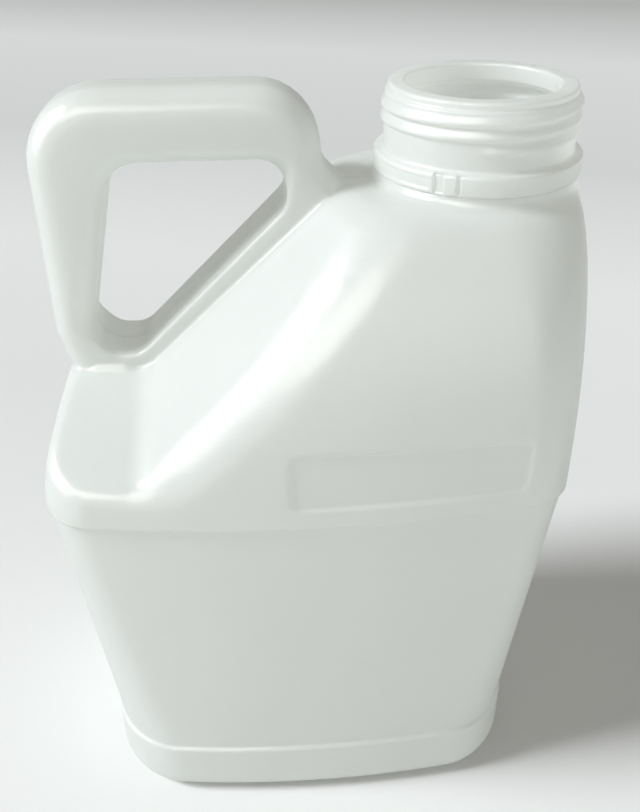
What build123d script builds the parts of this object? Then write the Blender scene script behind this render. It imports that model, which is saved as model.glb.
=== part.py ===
from build123d import *
import os
from math import atan, cos, sqrt

# Rectangular handle jug, blow-moulded in one piece: tapered lower body, leaning upper body,
# sloping shoulder, hollow handle over the diagonal shoulder and a wide threaded neck.
# Millimetres, Z up, base on Z = 0, neck and handle in the middle plane Y = 0. X is measured
# from the middle of the base while modelling, then the jug moves over to centre its outer box.

# Heights of the whole jug, counted down from the lip
total_height = 262.0
neck_height = 29.5
upper_height = 92.5
heel_height = 26.0
body_top = total_height - neck_height
step_height = body_top - upper_height
frame_shift = -1.3

# How far cutting solids reach past the jug, and how near two skins count as touching
overrun = 300.0
near_enough = 0.026

# Plan outline at the shoulder step and at the heel
shoulder_half_width = 88.6
shoulder_half_depth = 65.0
shoulder_corner = 14.0
shoulder_front_bow = 8.5
heel_half_width = 79.6
heel_half_depth = 60.6
heel_corner = 25.0
heel_front_bow = 6.8
side_bow = 2.0

# Wall, small steps and the hollow under the base
wall = 1.3
band_step = 1.3
ledge_round = 0.6
base_round = 9.0
hollow_margin = 16.0
hollow_depth = 3.0
hollow_round = 2.5

# Upper body, from the shoulder step to the neck
top_half_depth = 35.5
top_corner = 26.0
top_front_bow = 2.5
top_side_bow = 7.0
top_round = 4.5
right_bulge = 3.6
right_tuck = 3.8
lean_power = 3.0
left_lean = 8.5
left_lean_share = 0.34
tuck_power = 12
section_shares = (0, 0.13, 0.27, 0.41, 0.55, 0.69, 0.82, 0.92, 1)

# Roof over the left shelf and up the diagonal shoulder to the neck
neck_inset = 31.1
neck_x = shoulder_half_width - neck_inset
shelf_drop = 59.3
shelf_ridge = body_top - shelf_drop
shelf_eave_rise = 10.76
shelf_eave = step_height + shelf_eave_rise
shelf_run = 35.0
diagonal_foot = shelf_run - shoulder_half_width
ridge_to_neck = 54.2
ridge_x = neck_x - ridge_to_neck
ridge_drop = 5.5
ridge_height = body_top - ridge_drop
ridge_half_width = 14.0
ridge_round = 14.0
roof_fall = (shelf_ridge - shelf_eave) / (shoulder_half_depth - ridge_half_width)
diagonal_rise = (ridge_height - shelf_ridge) / (ridge_x - diagonal_foot)
eave_round = 12.0
top_zone = 3.0
valley_round = 14.0

# Handle, a hollow ring with rounded edges
handle_inset = 4.8
handle_left = handle_inset - shoulder_half_width
handle_to_neck = 50.5
handle_right = neck_x - handle_to_neck
handle_rise = 1.4
handle_top = total_height + handle_rise
handle_width = 28.0
handle_edge_round = 8.5
opening_edge_round = 6.0
handle_left_round = 23.0
handle_right_round = 20.0
handle_foot_rise = 11.2
handle_pinch_drop = 6.8
handle_pinch_in = 4.5
handle_root_rise = 6.9
handle_root_run = 9.0
handle_root_round = 9.0
root_round = 1.8

# Opening of the handle: its right and lower edges follow the shoulder
bar_height = 22.4
opening_top = handle_top - bar_height
opening_top_inset = 24.8
opening_top_left = handle_left + opening_top_inset
leg_width = 11.2
opening_right = handle_right - leg_width
opening_rise = 4.1
opening_bottom = shelf_ridge + opening_rise
opening_bottom_inset = 10.8
opening_bottom_left = handle_left + opening_bottom_inset
opening_foot_gap = 1.9
opening_foot = diagonal_foot - opening_foot_gap
opening_steep_share = 1.037
opening_top_round = 11.0
opening_right_round = 9.0
opening_corner_round = 8.0
opening_foot_round = 9.5

# Neck, thread and collar
neck_sink = 3.3
neck_radius = 30.2
neck_bore = 28.0
lip_radius = 29.4
lip_height = 2.5
lip_round = 0.8
mouth_radius = 24.0
mouth_depth = 2.6
thread_pitch = 4.7
thread_turns = 2.3
thread_end_drop = 12.6
thread_end_angle = -97.0
thread_crest = 1.2
thread_base = 3.3
thread_tip_share = 0.4
thread_fade = 30.0
collar_radius = 33.2
collar_drop = 20.2
collar_height = 6.6
collar_round = 0.9
notch_depth = 1.6
wide_notch = (-115.8, -108.6)
narrow_notch = (-101.7, -98.9)

# Label recess on the front and the back
label_inset = 19.6
label_width = 76.0
label_rise = 7.5
label_height = 20.0
label_right = shoulder_half_width - label_inset
label_left = label_right - label_width
label_bottom = step_height + label_rise
label_top = label_bottom + label_height
label_corner = 3.5
label_depth = 1.0


def outline(left, right, depth, front_bow, end_bow, corner, height):
    """Bowed rectangle with rounded corners, as a face at a height."""
    middle = (left + right) / 2
    flank = depth - front_bow
    near = left + end_bow
    far = right - end_bow
    front = ThreePointArc((near, -flank), (middle, -depth), (far, -flank))
    right_end = ThreePointArc((far, -flank), (right, 0), (far, flank))
    back = ThreePointArc((far, flank), (middle, depth), (near, flank))
    left_end = ThreePointArc((near, flank), (left, 0), (near, -flank))
    face = make_face([front, right_end, back, left_end])
    face = fillet(face.vertices(), corner)
    return face.moved(Location((0, 0, height)))


def heel_outline(inset, height):
    """Plan outline of the heel, moved inwards."""
    width = heel_half_width - inset
    depth = heel_half_depth - inset
    return outline(-width, width, depth, heel_front_bow, side_bow, heel_corner - inset, height)


def shoulder_outline(inset, height):
    """Plan outline of the shoulder step, moved inwards."""
    width = shoulder_half_width - inset
    depth = shoulder_half_depth - inset
    return outline(-width, width, depth, shoulder_front_bow, side_bow, shoulder_corner - inset, height)


def lower_body(inset):
    """Heel band and the tapered wall above it, set back from both bands."""
    band = extrude(heel_outline(inset, inset), heel_height - 2 * inset)
    band = fillet(band.edges().group_by(Axis.Z)[0], base_round - inset)
    if not inset:
        band = fillet(band.edges().group_by(Axis.Z)[-1], ledge_round)
    low = heel_outline(inset + band_step, heel_height - inset)
    high = shoulder_outline(inset + band_step, step_height + inset)
    hollow = extrude(heel_outline(hollow_margin - inset, 0), hollow_depth + inset)
    hollow = fillet(hollow.edges().group_by(Axis.Z)[-1], hollow_round + inset)
    return band + loft([low, high], ruled=True) - hollow


def section(share, inset):
    """Upper body outline at a share of its height."""
    height = step_height + inset + (body_top - step_height - 2 * inset) * share
    depth = shoulder_half_depth + (top_half_depth - shoulder_half_depth) * share**lean_power
    right = shoulder_half_width + right_bulge * share - right_tuck * share**tuck_power
    corner = shoulder_corner + (top_corner - shoulder_corner) * share
    bow = shoulder_front_bow + (top_front_bow - shoulder_front_bow) * share
    end_bow = side_bow + (top_side_bow - side_bow) * share
    left = left_lean * (share / left_lean_share) ** 2 - shoulder_half_width
    return outline(left + inset, right - inset, depth - inset, bow, end_bow, corner - inset, height)


def roof(inset, ridge, rise):
    """Solid under a sloping roof that runs along X and rises; the ridge is its height at X = 0."""
    top = ridge - inset / cos(atan(roof_fall)) * sqrt(1 + rise**2)
    eave = top - roof_fall * (overrun - ridge_half_width)
    corners = [(0, -overrun, -overrun), (0, -overrun, eave), (0, -ridge_half_width, top)]
    corners += [(0, ridge_half_width, top), (0, overrun, eave), (0, overrun, -overrun)]
    face = make_face(Polyline(corners + corners[:1]))
    ridges = [v for v in face.vertices() if abs(v.Z - top) < near_enough]
    face = fillet(ridges, ridge_round)
    return extrude(face, overrun, dir=Vector(1, 0, rise).normalized(), both=True)


def lies_on(edge, solid):
    """True when the middle of an edge lies on the skin of a solid."""
    middle = Vertex(*edge.position_at(0.5))
    return min(face.distance(middle) for face in solid.faces()) < near_enough


def upper_form(inset):
    """Upper body without its roofs, from the step to the neck."""
    form = loft([section(share, inset) for share in section_shares])
    if not inset:
        form = fillet(form.edges().group_by(Axis.Z)[0], ledge_round)
    return form


def upper_body(inset):
    """Upper body under the shelf roof and the diagonal roof, with rounded eaves and valley."""
    form = upper_form(inset)
    shelf = roof(inset, shelf_ridge, 0)
    diagonal = roof(inset, ridge_height - diagonal_rise * ridge_x, diagonal_rise)
    body = (form & shelf) + (form & diagonal)
    seam = [e for e in body.edges() if lies_on(e, shelf) and lies_on(e, diagonal)]
    body = fillet([e for e in seam if not lies_on(e, form)], valley_round)
    limit = body_top - inset - top_zone
    low = [e for e in body.edges() if e.position_at(0.5).Z < limit]
    eaves = [e for e in low if lies_on(e, form) and (lies_on(e, shelf) or lies_on(e, diagonal))]
    body = fillet(eaves, eave_round - inset)
    return fillet(body.faces().sort_by(Axis.Z)[-1].edges(), top_round - inset)


def corner_face(corners, rounds):
    """Face in the middle plane from corners, some of them rounded."""
    points = [(x, 0, z) for x, z in corners]
    face = make_face(Polyline(points + points[:1]))
    for (x, y, z), radius in zip(points, rounds):
        if radius:
            vertex = face.vertices().sort_by_distance((x, y, z))[0]
            face = fillet(vertex, radius)
    return face


def handle_profile():
    """Side view of the handle ring down into the body."""
    root = handle_right + handle_root_run
    root_z = body_top + handle_root_rise
    sunk_z = root_z - handle_root_run
    pinch = handle_left + handle_pinch_in
    pinch_z = shelf_ridge - handle_pinch_drop
    floor = pinch_z - handle_root_run
    corners = [(handle_left, handle_top), (handle_right, handle_top), (handle_right, root_z)]
    corners += [(root, sunk_z), (root, sunk_z - handle_root_run), (opening_foot, floor)]
    corners += [(pinch + handle_pinch_in, floor), (pinch, pinch_z)]
    corners += [(handle_left, shelf_ridge + handle_foot_rise)]
    rounds = [handle_left_round, handle_right_round, handle_root_round, 0, 0, 0, 0, 0, handle_root_round]
    return corner_face(corners, rounds)


def opening_profile():
    """Side view of the opening in the handle."""
    rise = (opening_right - opening_foot) * diagonal_rise * opening_steep_share
    corners = [(opening_top_left, opening_top), (opening_right, opening_top)]
    corners += [(opening_right, opening_bottom + rise), (opening_foot, opening_bottom)]
    corners += [(opening_bottom_left, opening_bottom)]
    rounds = [opening_top_round, opening_right_round, opening_corner_round]
    rounds += [opening_foot_round, opening_foot_round]
    return corner_face(corners, rounds)


def on_side(shape, half):
    """True when an edge or face lies in one of the two flat sides of the handle."""
    return abs(abs(shape.position_at(0.5).Y) - half) < near_enough


def handle(inset):
    """Handle ring with rounded edges, moved inwards."""
    half = handle_width / 2 - inset
    outer = handle_profile()
    hole = opening_profile()
    if inset:
        outer = offset(outer, -inset)
        hole = offset(hole, inset)
    solid = extrude(outer, half, dir=(0, 1, 0), both=True)
    solid = fillet([e for e in solid.edges() if on_side(e, half)], handle_edge_round - inset)
    solid = solid - extrude(hole, handle_width, dir=(0, 1, 0), both=True)
    flats = [f for f in solid.faces() if f.geom_type == GeomType.PLANE and f.inner_wires()]
    rims = [e for f in flats for w in f.inner_wires() for e in w.edges()]
    return fillet(rims, opening_edge_round - inset)


def ring(radius, bottom, top):
    """Round solid on the neck axis."""
    return Cylinder(radius, top - bottom, align=(Align.CENTER, Align.CENTER, Align.MIN)).moved(
        Location((neck_x, 0, bottom))
    )


def notch(angles):
    """Two opposite slots cut into the collar between two angles about the neck axis."""
    top = total_height - collar_drop + collar_round
    bottom = total_height - collar_drop - collar_height
    near = collar_radius - notch_depth
    far = collar_radius + notch_depth
    corners = [(near, 0, bottom), (far, 0, bottom), (far, 0, top), (near, 0, top)]
    slot = revolve(make_face(Polyline(corners + corners[:1])), Axis.Z, angles[1] - angles[0])
    return [slot.moved(Location((neck_x, 0, 0), (0, 0, turn + angles[0]))) for turn in (0, 180)]


def thread():
    """Thread bead wound on the neck, cut back to run out at both ends."""
    height = thread_pitch * thread_turns
    half = thread_base / 2
    tip = half * thread_tip_share
    root = neck_radius - wall / 2
    crest = neck_radius + thread_crest
    corners = [(root, 0, -half), (crest, 0, -tip), (crest, 0, tip), (root, 0, half)]
    face = make_face(Polyline(corners + corners[:1]))
    bead = sweep(face, Helix(thread_pitch, height, neck_radius), is_frenet=True)
    block = Box(thread_pitch, thread_fade, thread_pitch, align=(Align.MIN, Align.CENTER, Align.CENTER))
    block = block.moved(Location((neck_radius, 0, 0)))
    top = Location((0, 0, height), (0, 0, 360 * (thread_turns % 1)))
    low = Location((neck_x, 0, total_height - thread_end_drop), (0, 0, thread_end_angle))
    return (bead - block - block.moved(top)).moved(low)


def label_prism(grow):
    """Rounded block through the body where the labels lie back."""
    corners = [(label_left - grow, label_bottom - grow), (label_right + grow, label_bottom - grow)]
    corners += [(label_right + grow, label_top + grow), (label_left - grow, label_top + grow)]
    face = corner_face(corners, [label_corner + grow] * 4)
    return extrude(face, overrun, dir=(0, 1, 0), both=True)


def neck_outside():
    """Neck wall, lip and notched collar on the outside."""
    root = body_top - neck_sink
    collar_top = total_height - collar_drop
    neck = ring(neck_radius, root, total_height - lip_height)
    lip = ring(lip_radius, root, total_height)
    lip = fillet(lip.edges().sort_by(Axis.Z)[-1], lip_round)
    collar = ring(collar_radius, root, collar_top)
    collar = fillet(collar.edges().sort_by(Axis.Z)[-1], collar_round)
    for angles in (wide_notch, narrow_notch):
        collar = collar - notch(angles)
    return neck + lip + collar


def neck_inside():
    """Bore of the neck with the narrower mouth at the top."""
    root = body_top - neck_sink
    return ring(neck_bore, root, total_height - mouth_depth) + ring(mouth_radius, root, total_height + wall)


def rounded_roots(body, grip):
    """Body with its handle joined on, rounded where the two meet."""
    jug_body = body + grip
    reach = handle_width / 2 + root_round
    near = [e for e in jug_body.edges() if abs(e.position_at(0.5).Y) < reach]
    high = [e for e in near if e.position_at(0.5).Z > step_height]
    roots = [e for e in high if lies_on(e, grip) and lies_on(e, body)]
    return fillet(roots, root_round)


def skin(inset):
    """Whole jug without its neck, moved inwards."""
    body = lower_body(inset) + upper_body(inset)
    grip = handle(inset)
    body = body + grip if inset else rounded_roots(body, grip)
    prism = label_prism(inset)
    return body - (prism - upper_form(inset + label_depth))


def jug():
    """Skin between the outer and the inner form, open at the mouth."""
    outside = skin(0) + neck_outside() + thread()
    inside = skin(wall) + neck_inside()
    return (outside - inside).moved(Location((frame_shift, 0, 0)))


os.makedirs("parts", exist_ok=True)
export_step(jug(), "parts/jug.step")
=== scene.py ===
from math import cos, pi, radians, sin, sqrt

import bpy
import numpy as np
from mathutils import Matrix, Vector


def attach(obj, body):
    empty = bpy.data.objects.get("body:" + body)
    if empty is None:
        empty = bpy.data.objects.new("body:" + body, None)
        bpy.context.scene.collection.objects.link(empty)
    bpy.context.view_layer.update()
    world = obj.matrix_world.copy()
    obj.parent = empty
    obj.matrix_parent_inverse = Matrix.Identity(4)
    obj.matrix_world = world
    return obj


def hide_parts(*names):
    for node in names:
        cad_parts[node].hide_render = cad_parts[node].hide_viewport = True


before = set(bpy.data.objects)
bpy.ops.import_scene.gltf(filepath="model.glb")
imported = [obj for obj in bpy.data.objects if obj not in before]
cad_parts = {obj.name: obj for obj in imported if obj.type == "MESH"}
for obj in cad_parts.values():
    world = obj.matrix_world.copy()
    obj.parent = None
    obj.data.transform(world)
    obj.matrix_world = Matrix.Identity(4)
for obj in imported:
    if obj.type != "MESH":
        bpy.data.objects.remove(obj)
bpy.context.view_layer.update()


MM_PER_M = 1000
# sizes in millimetres, with X from midway between the lower body's ends
# FRAME_SHIFT moves the finished meshes along X into the frame
FRAME_SHIFT = -1.3
WALL = 1.3
HEEL_TOP = 26.0
UPPER_FOOT = 140.0
BODY_TOP = 232.5
# half width, half depth, bow of the long sides and corner radius, at the foot and where the body is widest
FOOT_SHAPE = (79.6, 60.6, 6.8, 25.0)
WIDE_SHAPE = (88.6, 65.0, 8.5, 14.0)
END_BOW = 2.0
SHELF_RIDGE = 173.2
GRIP_HALF = 14.0
GRIP_LEFT = -83.8
GRIP_RIGHT = 7.0
GRIP_TOP = 263.4
GAP_RIGHT = -4.2
GAP_TOP = 241.0
GAP_FOOT = 177.3
NECK_X = 57.5
NECK_R = 30.2
COLLAR_R = 33.2
COLLAR_TOP = 241.8
LIP_R = 29.4
LIP_TOP = 262.0
BORE_R = 24.0
INNER_R = 28.0
RIM_CUT = 236.0


def smooth_step(t):
    """Cubic step from 0 to 1 over the unit interval."""
    t = np.clip(t, 0.0, 1.0)
    return t * t * (3 - 2 * t)


def window(value, start, end, edge):
    """Cubic window: a step up that begins at start and a step down that begins at end, each one edge wide."""
    return smooth_step((value - start) / edge) * (1 - smooth_step((value - end) / edge))


def round_max(a, b, r):
    """Overlap of two fields with a rounded outer edge of radius r."""
    return np.minimum(np.maximum(a, b), -r) + np.hypot(np.maximum(a + r, 0), np.maximum(b + r, 0))


def round_min(a, b, r):
    """Union of two fields with a rounded inner corner of radius r."""
    return np.maximum(np.minimum(a, b), r) - np.hypot(np.maximum(r - a, 0), np.maximum(r - b, 0))


def box_distance(qx, qy):
    """Distance from a rectangle, given how far a point lies beyond each of its half sizes."""
    return np.hypot(np.maximum(qx, 0), np.maximum(qy, 0)) + np.minimum(np.maximum(qx, qy), 0)


def outline_distance(x, y, left, right, depth, front_bow, end_bow, corner):
    """Distance from a bowed rectangle with rounded corners: a rounded box whose half sizes shrink with the
    square of the place along each side, a little past the corners too."""
    reach = 1.2
    middle = (left + right) / 2
    half = (right - left) / 2
    u = np.clip((x - middle) / half, -reach, reach)
    v = np.clip(y / depth, -reach, reach)
    qx = np.abs(x - middle) - (half - end_bow * v * v - corner)
    qy = np.abs(y) - (depth - front_bow * u * u - corner)
    return box_distance(qx, qy) - corner


def wall_distance(x, y, z):
    """Side walls: a heel band, a tapered lower wall set back above it, then the upper body, whose outline
    changes towards the neck with powers of the height."""
    taper = np.clip((z - HEEL_TOP) / (UPPER_FOOT - HEEL_TOP), 0, 1)
    width, depth, bow, corner = [foot + (wide - foot) * taper for foot, wide in zip(FOOT_SHAPE, WIDE_SHAPE)]
    lower = outline_distance(x, y, -width, width, depth, bow, END_BOW, corner)
    set_in, edge = 1.3, 1.6
    set_back = set_in * window(z, HEEL_TOP - edge / 2, UPPER_FOOT - edge / 2, edge)

    height = BODY_TOP - UPPER_FOOT
    share = np.clip((z - UPPER_FOOT) / height, 0, 1.05)
    width, depth, bow, corner = WIDE_SHAPE
    shelf_lean, shelf_share = 8.5, 0.34
    end_spread, end_turn_in = 3.6, 3.8
    front_fall = 29.5
    bow_loss, end_bow_gain, corner_gain = 6.0, 5.0, 12.0
    left = shelf_lean * (share / shelf_share) ** 2 - width
    right = width + end_spread * share - end_turn_in * share ** 12
    upper = outline_distance(x, y, left, right, depth - front_fall * share ** 3, bow - bow_loss * share,
                             END_BOW + end_bow_gain * share, corner + corner_gain * share)
    lean = 1 / np.sqrt(1 + (3 * front_fall / height * share ** 2) ** 2)
    return np.where(z < UPPER_FOOT, lower + set_back, upper * lean)


def roof_distance(x, y, z):
    """Shelf roof and diagonal roof, joined by a round valley. Both are level across the handle's thickness
    and fall away from it to the front and the back."""
    fall, bend = 0.44, 4.0
    rise, rise_x, rise_z = 0.945, 3.3, 227.0
    valley = 3.0
    side = np.abs(y) - GRIP_HALF
    drop = fall * (side + np.sqrt(side * side + bend * bend)) / 2
    shelf = (z - SHELF_RIDGE + drop) / sqrt(1 + fall * fall)
    diagonal = (z - rise_z - rise * (x - rise_x) + drop) / sqrt(1 + rise * rise + fall * fall)
    return round_min(shelf, diagonal, valley)


def turned_line(corners, steps=9):
    """Closed outline from corners given as (x, z, radius): an arc at each corner touches both its sides."""
    out = []
    points = np.array(corners, float)[:, :2]
    for i, (_, _, radius) in enumerate(corners):
        p = points[i]
        if not radius:
            out.append(p)
            continue
        a = points[i - 1] - p
        b = points[(i + 1) % len(corners)] - p
        a /= np.hypot(*a)
        b /= np.hypot(*b)
        half = np.arccos(np.clip(a @ b, -1, 1)) / 2
        reach = radius / np.tan(half)
        centre = p + (a + b) / np.hypot(*(a + b)) * radius / np.sin(half)
        s = p + a * reach - centre
        e = p + b * reach - centre
        a0 = np.arctan2(s[1], s[0])
        turn = (np.arctan2(e[1], e[0]) - a0 + pi) % (2 * pi) - pi
        for t in np.linspace(0, 1, steps):
            out.append(centre + radius * np.array((np.cos(a0 + turn * t), np.sin(a0 + turn * t))))
    return np.array(out)


def line_distance(x, z, line):
    """Signed distance in the side view from a closed line, negative inside."""
    best = np.full(np.broadcast(x, z).shape, 1e9)
    inside = np.zeros(best.shape, bool)
    for (ax, az), (bx, bz) in zip(line, np.roll(line, -1, 0)):
        ex, ez = bx - ax, bz - az
        length = ex * ex + ez * ez
        if length < 1e-12:
            continue
        t = np.clip(((x - ax) * ex + (z - az) * ez) / length, 0, 1)
        best = np.minimum(best, (x - ax - t * ex) ** 2 + (z - az - t * ez) ** 2)
        crosses = (az > z) != (bz > z)
        if ez:
            inside ^= crosses & (x < ax + (z - az) * ex / ez)
    return np.where(inside, -1, 1) * np.sqrt(best)


# side view of the handle, whose lower corners lie inside the body, and of its opening
GRIP = turned_line([(GRIP_LEFT, GRIP_TOP, 23.0), (GRIP_RIGHT, GRIP_TOP, 20.0), (GRIP_RIGHT, 239.4, 9.0),
                    (16.0, 230.4, 0), (16.0, 221.4, 0), (-55.5, 157.4, 0), (-74.8, 157.4, 0),
                    (-79.3, 166.4, 0), (GRIP_LEFT, 184.4, 9.0)])
GAP = turned_line([(-59.0, GAP_TOP, 11.0), (GAP_RIGHT, GAP_TOP, 9.0), (GAP_RIGHT, 227.7, 8.0),
                   (-55.5, GAP_FOOT, 9.5), (-73.0, GAP_FOOT, 9.5)])


def grip_distance(x, y, z, roof):
    """Handle: its side view made as thick as the handle, with well rounded edges but for the opening's low
    bar, and with a low step where its left foot meets the shelf."""
    outer_edge, bar_edge, gap_edge = 9.5, 1.4, 9.0
    bar_top, edge_change = 7.0, 9.0
    thick = np.abs(y) - GRIP_HALF
    side = line_distance(x, z, GRIP)
    outer = round_max(side, thick, outer_edge)
    edge = bar_edge + (gap_edge - bar_edge) * smooth_step((roof - bar_top) / edge_change)
    inner = round_max(-line_distance(x, z, GAP), thick, edge)

    step_height, step_sink = 1.4, 4.0
    step_right, right_fade, step_left, left_fade = -62.0, 9.0, -70.0, 8.0
    ledge, ledge_edge, inset, inset_edge = 0.9, 0.7, 1.2, 0.8
    sunk = smooth_step((x - step_right) / right_fade) + smooth_step((step_left - x) / left_fade)
    step = round_max(thick - ledge, roof - step_height + step_sink * sunk, ledge_edge)
    step = round_max(step, side + inset, inset_edge)
    gap_rim, step_corner = 1.5, 1.0
    return round_min(round_max(outer, inner, gap_rim), step, step_corner)


def label_share(x, z):
    """Share of the label recess's depth: 1 inside a rounded rectangle, 0 outside, with a cubic edge."""
    middle_x, middle_z, half_width, half_height, corner, edge = 31.0, 157.5, 38.0, 10.0, 3.5, 1.4
    qx = np.abs(x - middle_x) - (half_width - corner)
    qz = np.abs(z - middle_z) - (half_height - corner)
    return smooth_step(0.5 - (box_distance(qx, qz) - corner) / edge)


def jug_field(x, y, z):
    """Field of the jug's outer skin, negative inside: walls cut by the roofs, the top and the base with
    rounded edges, less the hollow under the base, joined to the handle and the neck's seat with rounded
    corners."""
    label_sink, label_side = 1.0, 30.0
    walls = wall_distance(x, y, z) + label_sink * label_share(x, z) * (np.abs(y) > label_side)
    roof = roof_distance(x, y, z)
    left_eave, right_eave, eave_from, eave_change = 3.2, 10.5, -64.0, 26.0
    eave = left_eave + (right_eave - left_eave) * smooth_step((x - eave_from) / eave_change)
    top_edge, base_edge = 5.0, 9.0
    body = round_max(walls, roof, eave)
    body = round_max(body, z - BODY_TOP, top_edge)
    body = round_max(body, -z, base_edge)

    ring, hollow_height, hollow_corner, hollow_edge = 16.0, 3.0, 12.0, 1.5
    width, depth, bow, _ = FOOT_SHAPE
    hollow = outline_distance(x, y, ring - width, width - ring, depth - ring, bow, END_BOW, hollow_corner)
    body = round_max(body, -np.maximum(hollow, z - hollow_height), hollow_edge)

    root, seat_r, seat_foot, seat_corner = 1.3, 32.6, 231.0, 3.0
    body = round_min(body, grip_distance(x, y, z, roof), root)
    seat = np.maximum(np.hypot(x - NECK_X, y) - seat_r, seat_foot - z)
    return round_min(body, seat, seat_corner)


def gradient(x, y, z, field, h=0.05):
    """Slope of the field by central differences."""
    gx = field(x + h, y, z) - field(x - h, y, z)
    gy = field(x, y + h, z) - field(x, y - h, z)
    gz = field(x, y, z + h) - field(x, y, z - h)
    return np.stack((gx, gy, gz), -1) / (2 * h)


def planes(marks, steps):
    """Grid planes between marks, each stretch with its own step."""
    parts = []
    for a, b, step in zip(marks, marks[1:], steps):
        parts.append(np.linspace(a, b, max(1, int(round((b - a) / step))), endpoint=False))
    return np.concatenate(parts + [np.array(marks[-1:], float)])


def net(xs, ys, zs, level):
    """Surface net: one point in each grid cell that the skin crosses, the mean of the crossings on the cell's
    edges, moved along the field's slope onto the skin, and a face for each crossed grid line. The net is open
    under the collar."""
    values = np.stack([jug_field(xs[:, None], ys[None, :], z) for z in zs], -1) - level
    sign = values < 0
    grid = (xs, ys, zs)
    shape = tuple(len(line) - 1 for line in grid)
    total = np.zeros(shape + (3,))
    count = np.zeros(shape)
    quads = []
    for axis in range(3):
        lo = [slice(None)] * 3
        hi = [slice(None)] * 3
        lo[axis] = slice(0, -1)
        hi[axis] = slice(1, None)
        cross = np.argwhere(sign[tuple(lo)] != sign[tuple(hi)])
        nxt = cross.copy()
        nxt[:, axis] += 1
        a = values[tuple(cross.T)]
        b = values[tuple(nxt.T)]
        t = a / (a - b)
        spot = np.stack([grid[k][cross[:, k]] for k in range(3)], -1)
        spot[:, axis] += t * (grid[axis][nxt[:, axis]] - grid[axis][cross[:, axis]])
        u, v = [(1, 2), (2, 0), (0, 1)][axis]
        cells = []
        good = np.ones(len(cross), bool)
        for du, dv in ((0, 0), (1, 0), (1, 1), (0, 1)):
            cell = cross.copy()
            cell[:, u] -= du
            cell[:, v] -= dv
            ok = (cell >= 0).all(1) & (cell < np.array(shape)).all(1)
            np.add.at(total, tuple(cell[ok].T), spot[ok])
            np.add.at(count, tuple(cell[ok].T), 1)
            cells.append(cell)
            good &= ok
        ring = np.stack([np.ravel_multi_index(tuple(cell[good].T), shape) for cell in cells], -1)
        flip = sign[tuple(cross[good].T)]
        ring[~flip] = ring[~flip][:, ::-1]
        quads.append(ring)
    used, faces = np.unique(np.concatenate(quads), return_inverse=True)
    faces = faces.reshape(-1, 4)
    points = total.reshape(-1, 3)[used] / count.reshape(-1)[used][:, None]
    longest_move, least_slope = 1.0, 0.25
    for _ in range(3):
        g = gradient(*points.T, jug_field)
        gap = np.clip(jug_field(*points.T) - level, -longest_move, longest_move)
        points = points - g * (gap / np.maximum((g * g).sum(1), least_slope))[:, None]
    neck_side = 20
    corner = points[faces]
    kept = faces[~((corner[:, :, 0] > neck_side).all(1) & (corner[:, :, 2] > RIM_CUT).any(1))]
    used, kept = np.unique(kept, return_inverse=True)
    return points[used], kept.reshape(-1, 4)


def smooth_mesh(name, points, faces):
    """Mesh object from rows of millimetre points and groups of corner rows, shaded smooth, in metres."""
    place = np.array(points, float)
    place[:, 0] += FRAME_SHIFT
    mesh = bpy.data.meshes.new(name)
    corners = [np.asarray(group, np.int32) for group in faces]
    sizes = np.concatenate([np.full(len(group), group.shape[1], np.int32) for group in corners])
    mesh.vertices.add(len(place))
    mesh.vertices.foreach_set("co", (place / MM_PER_M).astype(np.float32).ravel())
    mesh.loops.add(int(sizes.sum()))
    mesh.loops.foreach_set("vertex_index", np.concatenate([group.ravel() for group in corners]))
    mesh.polygons.add(len(sizes))
    mesh.polygons.foreach_set("loop_start", np.concatenate(([0], np.cumsum(sizes)[:-1])).astype(np.int32))
    mesh.update(calc_edges=True)
    mesh.validate()
    mesh.shade_smooth()
    thing = bpy.data.objects.new(name, mesh)
    bpy.context.collection.objects.link(thing)
    return thing


def open_rim(points, faces):
    """Points of the open edge of a net under the collar, sorted by their angle about the neck."""
    edges = np.concatenate([faces[:, [k, (k + 1) % 4]] for k in range(4)])
    key, count = np.unique(np.sort(edges, 1), axis=0, return_counts=True)
    rim = np.unique(key[count == 1])
    angle = np.arctan2(points[rim, 1], points[rim, 0] - NECK_X)
    order = np.argsort(angle)
    return rim[order], angle[order]


def join_rims(outer, outer_angle, inner, inner_angle):
    """Triangles between two rings of points, walking round both by angle."""
    faces = []
    i = j = 0
    m, n = len(outer), len(inner)
    while i < m or j < n:
        a = outer_angle[i + 1] if i + 1 < m else outer_angle[(i + 1) % m] + 2 * pi
        b = inner_angle[j + 1] if j + 1 < n else inner_angle[(j + 1) % n] + 2 * pi
        if j >= n or (i < m and a <= b):
            faces.append((outer[i % m], outer[(i + 1) % m], inner[j % n]))
            i += 1
        else:
            faces.append((outer[i % m], inner[(j + 1) % n], inner[j % n]))
            j += 1
    return np.array(faces)


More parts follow.
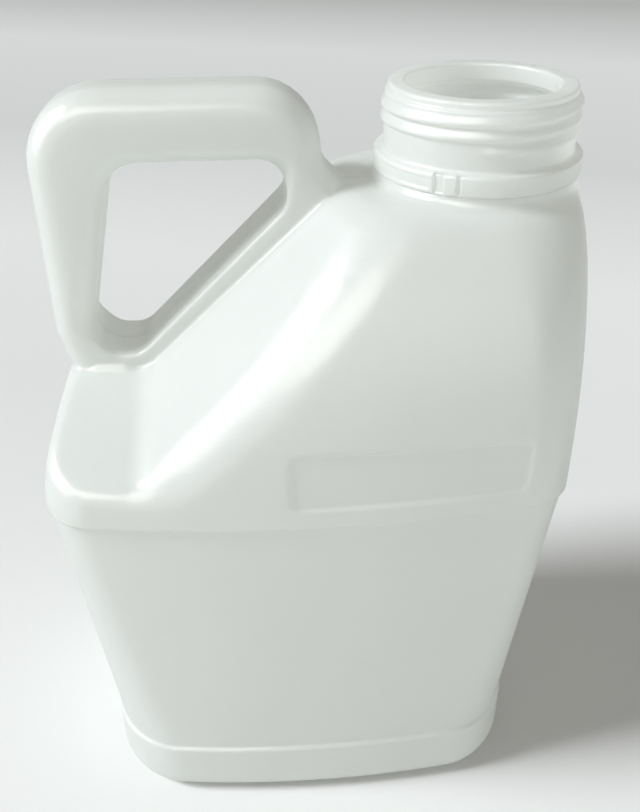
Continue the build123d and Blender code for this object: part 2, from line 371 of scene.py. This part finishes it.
def jug_body():
    """Hollow body with its handle: an outer skin and, a wall further in, an inner skin of the same field,
    joined at the rim under the collar. The outer skin's grid is finer at the handle, the heel, the shoulder
    and two edges of the recess."""
    xs = planes((-92, -86, 21, 67, 71, 94), (2, 1.1, 2.2, 0.6, 2.2))
    ys = planes((-68, -17, -9.5, 9.5, 17, 68), (2.2, 0.7, 1.7, 0.7, 2.2))
    zs = planes((-2, 24.4, 28.0, 138.2, 142.0, 145.6, 149.6, 154, 236.4, 241, 266),
                (2.2, 0.5, 2.8, 0.5, 1.2, 0.6, 1.4, 1.05, 0.9, 1.6))
    outer, outer_faces = net(xs, ys, zs, 0.0)
    coarse = 4.0
    xs = planes((-92, 94), (coarse,))
    ys = planes((-68, 68), (coarse,))
    zs = planes((-2, 236.4, 266), (coarse, coarse))
    inner, inner_faces = net(xs, ys, zs, -WALL)
    inner_faces = inner_faces[:, ::-1] + len(outer)
    points = np.concatenate((outer, inner))
    joint = join_rims(*open_rim(points, outer_faces), *open_rim(points, inner_faces))
    return smooth_mesh("jug_body", points, [outer_faces, inner_faces, joint])


def arc(cr, cz, radius, start, end, steps):
    """Quarter or part circle in the neck's profile."""
    t = np.radians(np.linspace(start, end, steps))
    return np.stack((cr + radius * np.cos(t), cz + radius * np.sin(t)), -1)


def run(r0, z0, r1, z1, steps):
    """Straight run in the neck's profile."""
    t = np.linspace(0, 1, steps)[:, None]
    return np.array((r0, z0)) * (1 - t) + np.array((r1, z1)) * t


def thread_bead(angle, z):
    """Height of the thread: a bead along a right-hand helix, steep below and gentle above, that fades at both
    ends."""
    height, foot, pitch, half_width, turns = 1.05, 248.5, 4.1, 1.75, 2.4
    first_angle, start_fade, end_fade = radians(-106.0), 0.04, 0.07
    below, above, above_from = 0.55, 1.5, 1.2
    bead = np.zeros(np.broadcast(angle, z).shape)
    start = (angle - first_angle) % (2 * pi) / (2 * pi)
    for lap in range(3):
        turn = start + lap
        u = (z - foot - pitch * turn) / half_width
        fade = smooth_step(turn / start_fade) * smooth_step((turns - turn) / end_fade)
        flanks = smooth_step((u + 1) / below) * smooth_step((above_from - u) / above)
        bead = np.maximum(bead, height * fade * flanks)
    return bead


def collar_relief(angle, z):
    """Depth below the collar's face: two slots and a framed panel beside them, the same again at the back."""
    slot_depth, slot_foot, panel_depth, panel_foot, panel_top, edge = 0.9, 235.6, 0.35, 236.6, 240.0, 0.5
    wide_slot, narrow_slot = (54.8, 60.4), (67.3, 69.4)
    panel_from, from_edge, panel_to, to_edge = 14.0, 1.2, 52.2, 0.7
    turn = np.degrees(angle) % 180
    slots = np.maximum(window(turn, *wide_slot, edge), window(turn, *narrow_slot, edge))
    slots = slot_depth * slots * smooth_step((z - slot_foot) / edge)
    across = smooth_step((turn - panel_from) / from_edge) * (1 - smooth_step((turn - panel_to) / to_edge))
    panel = panel_depth * across * window(z, panel_foot, panel_top, edge)
    return np.maximum(slots, panel)


def neck_ring():
    """Neck, lip and collar: a closed profile turned about the neck axis. The thread, the collar's relief and
    the shallow rings inside are added to its radius."""
    outside = np.concatenate([
        arc(COLLAR_R - 0.8, 236.2, 0.8, -90, 0, 4),
        run(COLLAR_R, 236.6, COLLAR_R, 240.7, 16),
        arc(COLLAR_R - 0.9, COLLAR_TOP - 0.9, 0.9, 0, 90, 5),
        run(31.6, COLLAR_TOP, 31.2, COLLAR_TOP, 2),
        arc(NECK_R + 1.0, COLLAR_TOP + 1.0, 1.0, 270, 180, 4),
        run(NECK_R, 243.4, NECK_R, 259.0, 60),
        run(30.0, 259.4, LIP_R, 259.8, 3),
        run(LIP_R, 260.3, LIP_R, 261.0, 3),
        arc(LIP_R - 0.9, LIP_TOP - 0.9, 0.9, 0, 90, 6)])
    inside = np.concatenate([
        run(27.6, LIP_TOP, 25.0, LIP_TOP, 5),
        arc(BORE_R + 0.8, LIP_TOP - 0.8, 0.8, 90, 180, 5),
        run(BORE_R, 260.9, BORE_R + 0.1, 257.4, 6),
        arc(BORE_R + 0.9, 257.2, 0.8, 180, 240, 4),
        run(25.2, 256.2, INNER_R - 1.0, 254.6, 5),
        arc(INNER_R - 1.0, 253.6, 1.0, 70, 0, 4),
        run(INNER_R, 252.8, INNER_R, 240.5, 26),
        run(28.6, 238.4, 31.0, 236.0, 5),
        run(31.2, 235.5, 32.2, 235.4, 3)])
    radius, height = np.concatenate((outside, inside)).T
    is_outside = np.arange(len(radius)) < len(outside)
    # the angles are finer at the collar's slots
    marks = (-180, -128.0, -118.6, -113.0, -109.6, 0, 52.0, 61.4, 67.0, 70.4, 180)
    steps = (1.5, 0.35, 1.2, 0.35, 1.5, 1.5, 0.35, 1.2, 0.35, 1.5)
    angle = np.radians(planes(marks, steps)[:-1])
    a, r = np.meshgrid(angle, radius, indexing="ij")
    z = np.broadcast_to(height, a.shape)
    wall = (np.abs(radius - NECK_R) < 0.01) & is_outside
    band = (radius > COLLAR_R - 0.7) & is_outside
    ringed = (radius > INNER_R - 0.2) & ~is_outside & (height > 241)
    ring_height, ring_rate = 0.16, 1.9
    rings = ring_height * np.sin(z * ring_rate) * ringed
    r = r + thread_bead(a, z) * wall - collar_relief(a, z) * band + rings
    points = np.stack((NECK_X + r * np.cos(a), r * np.sin(a), z), -1).reshape(-1, 3)
    rows, cols = a.shape
    i = np.arange(rows)[:, None]
    j = np.arange(cols)[None, :]
    near = i * cols + j
    far = (i + 1) % rows * cols + j
    near_up = i * cols + (j + 1) % cols
    far_up = (i + 1) % rows * cols + (j + 1) % cols
    faces = np.stack((near, far, far_up, near_up), -1).reshape(-1, 4)
    return smooth_mesh("jug_neck", points, [faces])


def node_tree(name):
    """Material with an emptied node tree, and the tree's nodes and links."""
    material = bpy.data.materials.new(name)
    material.use_nodes = True
    nodes = material.node_tree.nodes
    nodes.clear()
    return material, nodes, material.node_tree.links


def value_node(nodes, links, operation, first, second=None, third=None):
    """Math node; each input is a number or another node's output."""
    node = nodes.new("ShaderNodeMath")
    node.operation = operation
    for socket, entry in zip(node.inputs, (first, second, third)):
        if entry is None:
            continue
        if isinstance(entry, (int, float)):
            socket.default_value = entry
        else:
            links.new(entry, socket)
    return node.outputs[0]


def noise_node(nodes, links, where, scale, detail, stretch=(1, 1, 1)):
    """Smooth noise on object coordinates, with its own stretch along each axis."""
    space = nodes.new("ShaderNodeMapping")
    space.inputs["Scale"].default_value = stretch
    links.new(where, space.inputs["Vector"])
    noise = nodes.new("ShaderNodeTexNoise")
    noise.inputs["Scale"].default_value = scale
    noise.inputs["Detail"].default_value = detail
    links.new(space.outputs[0], noise.inputs["Vector"])
    return noise.outputs["Fac"]


def parting_line(nodes, links, where):
    """Height of the mould's parting line: a fine raised line in the middle plane, 1 on it and 0 beside it."""
    split = nodes.new("ShaderNodeSeparateXYZ")
    links.new(where, split.inputs[0])
    side = value_node(nodes, links, "ABSOLUTE", split.outputs["Y"])
    band = nodes.new("ShaderNodeMapRange")
    band.interpolation_type = "SMOOTHSTEP"
    band.inputs["From Min"].default_value = 0.0001
    band.inputs["From Max"].default_value = 0.0006
    band.inputs["To Min"].default_value = 1
    band.inputs["To Max"].default_value = 0
    links.new(side, band.inputs["Value"])
    return band.outputs[0]


def milky_plastic():
    """Natural blow-moulded plastic: satin, with a little over half of its shading from light that comes
    through."""
    through_share = 0.56
    wave_height, grain_height, seam_height = 0.00035, 0.00003, 0.00025
    material, nodes, links = node_tree("milky_plastic")
    where = nodes.new("ShaderNodeTexCoord").outputs["Object"]
    cloud = noise_node(nodes, links, where, 26, 3, (1, 1, 0.45))
    tint = nodes.new("ShaderNodeValToRGB")
    tint.color_ramp.elements[0].position = 0.3
    tint.color_ramp.elements[0].color = (0.905, 0.94, 0.95, 1)
    tint.color_ramp.elements[1].position = 0.7
    tint.color_ramp.elements[1].color = (0.93, 0.96, 0.97, 1)
    links.new(cloud, tint.inputs[0])
    waves = noise_node(nodes, links, where, 60, 2)
    grain = noise_node(nodes, links, where, 900, 2)
    seam = parting_line(nodes, links, where)
    relief = value_node(nodes, links, "MULTIPLY", waves, wave_height)
    relief = value_node(nodes, links, "MULTIPLY_ADD", grain, grain_height, relief)
    relief = value_node(nodes, links, "MULTIPLY_ADD", seam, seam_height, relief)
    bump = nodes.new("ShaderNodeBump")
    bump.inputs["Strength"].default_value = 1
    bump.inputs["Distance"].default_value = 1
    links.new(relief, bump.inputs["Height"])
    skin = nodes.new("ShaderNodeBsdfPrincipled")
    skin.inputs["Roughness"].default_value = 0.24
    skin.inputs["IOR"].default_value = 1.5
    skin.inputs["Specular IOR Level"].default_value = 1.0
    links.new(tint.outputs[0], skin.inputs["Base Color"])
    links.new(bump.outputs[0], skin.inputs["Normal"])
    glow = nodes.new("ShaderNodeBsdfTranslucent")
    glow.inputs["Color"].default_value = (0.985, 0.985, 0.955, 1)
    links.new(bump.outputs[0], glow.inputs["Normal"])
    mix = nodes.new("ShaderNodeMixShader")
    mix.inputs[0].default_value = through_share
    links.new(skin.outputs[0], mix.inputs[1])
    links.new(glow.outputs[0], mix.inputs[2])
    out = nodes.new("ShaderNodeOutputMaterial")
    links.new(mix.outputs[0], out.inputs["Surface"])
    return material


def floor_with_painted_shade():
    """Pale studio floor with painted shade: near white in front and at the left, greyer far off and to the
    right.
    """
    material, nodes, links = node_tree("studio_floor")
    where = nodes.new("ShaderNodeTexCoord").outputs["Object"]
    split = nodes.new("ShaderNodeSeparateXYZ")
    links.new(where, split.inputs[0])
    away = value_node(nodes, links, "MULTIPLY_ADD", split.outputs["X"], 0.35, split.outputs["Y"])
    span = nodes.new("ShaderNodeMapRange")
    span.inputs["From Min"].default_value = -0.1
    span.inputs["From Max"].default_value = 2.1
    links.new(away, span.inputs["Value"])
    # painted shade: the ramp greys the floor's colour far off and to the right, in place of light that falls
    # off there
    ramp = nodes.new("ShaderNodeValToRGB")
    painted_shade_tones = ramp.color_ramp
    painted_shade_tones.elements[0].color = (0.80, 0.805, 0.80, 1)
    painted_shade_tones.elements[1].color = (0.45, 0.455, 0.445, 1)
    for place, tone in ((0.14, 0.755), (0.26, 0.78), (0.42, 0.65), (0.7, 0.69)):
        painted_shade_tones.elements.new(place).color = (tone * 0.99, tone, tone, 1)
    links.new(span.outputs[0], ramp.inputs[0])
    paint = nodes.new("ShaderNodeBsdfDiffuse")
    links.new(ramp.outputs[0], paint.inputs["Color"])
    out = nodes.new("ShaderNodeOutputMaterial")
    links.new(paint.outputs[0], out.inputs["Surface"])
    return material


def sheet_of_floor():
    """Flat square floor under the jug."""
    reach = 6.0
    corners = [(-reach, -reach, 0), (reach, -reach, 0), (reach, reach, 0), (-reach, reach, 0)]
    mesh = bpy.data.meshes.new("floor")
    mesh.from_pydata(corners, [], [(0, 1, 2, 3)])
    floor = bpy.data.objects.new("floor", mesh)
    bpy.context.collection.objects.link(floor)
    floor.data.materials.append(floor_with_painted_shade())


def soft_sun(name, towards, angle, energy, colour):
    """Sun lamp that stands in the direction towards and is as wide in the sky as the angle in degrees."""
    lamp = bpy.data.lights.new(name, "SUN")
    lamp.angle = radians(angle)
    lamp.energy = energy
    lamp.color = colour
    holder = bpy.data.objects.new(name, lamp)
    bpy.context.collection.objects.link(holder)
    holder.rotation_euler = Vector(towards).to_track_quat("Z", "Y").to_euler()


def bright_patch(nodes, links, where, towards, outer, inner):
    """Round patch of the world about a direction: 1 within the inner angle, 0 beyond the outer one."""
    facing = nodes.new("ShaderNodeVectorMath")
    facing.operation = "DOT_PRODUCT"
    facing.inputs[1].default_value = Vector(towards).normalized()
    links.new(where, facing.inputs[0])
    patch = nodes.new("ShaderNodeMapRange")
    patch.interpolation_type = "SMOOTHSTEP"
    patch.inputs["From Min"].default_value = cos(radians(outer))
    patch.inputs["From Max"].default_value = cos(radians(inner))
    links.new(facing.outputs["Value"], patch.inputs["Value"])
    return patch.outputs[0]


def studio_light():
    """Soft window light from the upper left, a weak wide fill from the front, and a pale world. Only gloss
    sees the world's two brighter patches, at the window and up to the left of the camera, and the camera sees
    the world paler."""
    soft_sun("window_left", (-0.755, -0.06, 0.65), 17, 3.2, (0.945, 0.98, 1.0))
    soft_sun("front_fill", (0.1, -0.99, 0.04), 70, 0.85, (1.0, 0.985, 0.95))
    world_light, camera_extra, patch_light, above_share = 0.31, 0.42, 5.5, 1.2
    world = bpy.data.worlds.new("studio")
    bpy.context.scene.world = world
    world.use_nodes = True
    nodes = world.node_tree.nodes
    links = world.node_tree.links
    background = nodes["Background"]
    background.inputs["Color"].default_value = (1.0, 0.975, 0.92, 1)
    where = nodes.new("ShaderNodeTexCoord").outputs["Generated"]
    window_patch = bright_patch(nodes, links, where, (-0.91, -0.16, 0.36), 32, 18)
    above_patch = bright_patch(nodes, links, where, (-0.38, -0.66, 0.65), 24, 13)
    patches = value_node(nodes, links, "MULTIPLY_ADD", above_patch, above_share, window_patch)
    ray = nodes.new("ShaderNodeLightPath").outputs
    seen = value_node(nodes, links, "MULTIPLY", patches, ray["Is Glossy Ray"])
    strength = value_node(nodes, links, "MULTIPLY_ADD", seen, patch_light, world_light)
    strength = value_node(nodes, links, "MULTIPLY_ADD", ray["Is Camera Ray"], camera_extra, strength)
    links.new(strength, background.inputs["Strength"])


def photo_camera():
    """Camera at the angle and distance of the photograph: turned by yaw, tilted down by pitch, then
    rolled."""
    yaw, pitch, roll = 0.06528, 0.56698, -0.00778
    focal_pixels, photo_pixels, film_height = 900.0, 812, 36
    place = (-0.01228 + FRAME_SHIFT / MM_PER_M, -0.28439, 0.32653)
    ahead0 = Vector((sin(yaw), cos(yaw), 0))
    right0 = Vector((cos(yaw), -sin(yaw), 0))
    up0 = Vector((0, 0, 1))
    ahead = ahead0 * cos(pitch) - up0 * sin(pitch)
    up = up0 * cos(pitch) + ahead0 * sin(pitch)
    right = right0 * cos(roll) + up * sin(roll)
    top = up * cos(roll) - right0 * sin(roll)
    lens = bpy.data.cameras.new("photo_camera")
    lens.sensor_fit = "VERTICAL"
    lens.sensor_height = film_height
    lens.lens = focal_pixels / photo_pixels * film_height
    lens.clip_start = 0.01
    camera = bpy.data.objects.new("photo_camera", lens)
    bpy.context.collection.objects.link(camera)
    turn = Matrix((right, top, -ahead)).transposed().to_4x4()
    camera.matrix_world = Matrix.Translation(place) @ turn
    bpy.context.scene.camera = camera


body = jug_body()
neck = neck_ring()
plastic = milky_plastic()
for piece in (body, neck):
    piece.data.materials.append(plastic)
    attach(piece, "root")
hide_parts("jug")
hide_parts("jug")
sheet_of_floor()
studio_light()
photo_camera()
bpy.context.scene.view_settings.view_transform = "Standard"
